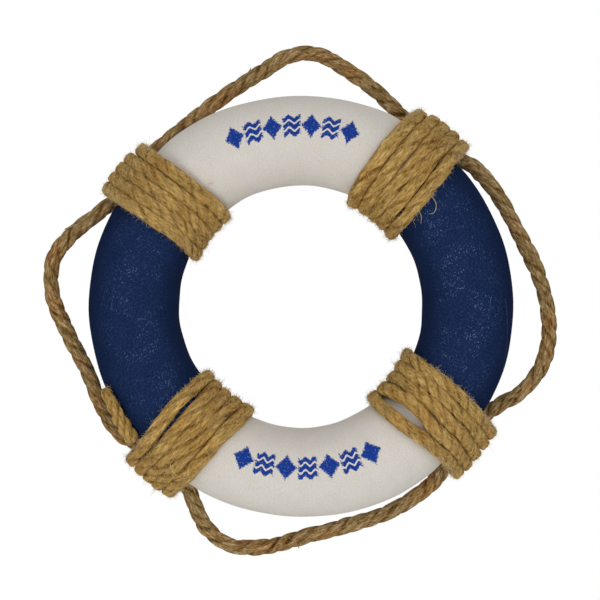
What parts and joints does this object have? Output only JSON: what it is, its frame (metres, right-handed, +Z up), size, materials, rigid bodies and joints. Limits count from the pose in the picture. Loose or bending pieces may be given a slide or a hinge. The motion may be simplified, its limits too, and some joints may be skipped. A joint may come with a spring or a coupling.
{
  "type": "decorative ring lifebuoy",
  "caption": "Small ring lifebuoy ornament: cloth-covered foam ring, white and navy quarters, jute rope bindings and a grab line it hangs by.",
  "frame": {"origin": "the hang point: the underside of the grab line at the top of its top bight, where it rests on a wall hook", "axes": "+Z up, the front of the ring faces -Y, the wall is on the +Y side, +X to the viewer's right"},
  "size_m": [0.2442, 0.055, 0.2429],
  "materials": {
    "foam": "expanded polystyrene, matt",
    "white_cloth": "off-white brushed cotton, matt",
    "navy_cloth": "navy brushed cotton with pale lint, matt",
    "jute": "golden jute rope, hairy",
    "laid_rope": "brown three-strand laid rope"
  },
  "bodies": {
    "root": {"foam_core": "foam", "cover_white_top": "white_cloth", "cover_white_bottom": "white_cloth", "cover_blue_left": "navy_cloth", "cover_blue_right": "navy_cloth", "binding_upper_left": "jute", "binding_upper_right": "jute", "binding_lower_left": "jute", "binding_lower_right": "jute", "binding_lower_left_tail": "jute", "grab_line": "laid_rope"}
  },
  "joints": []
}
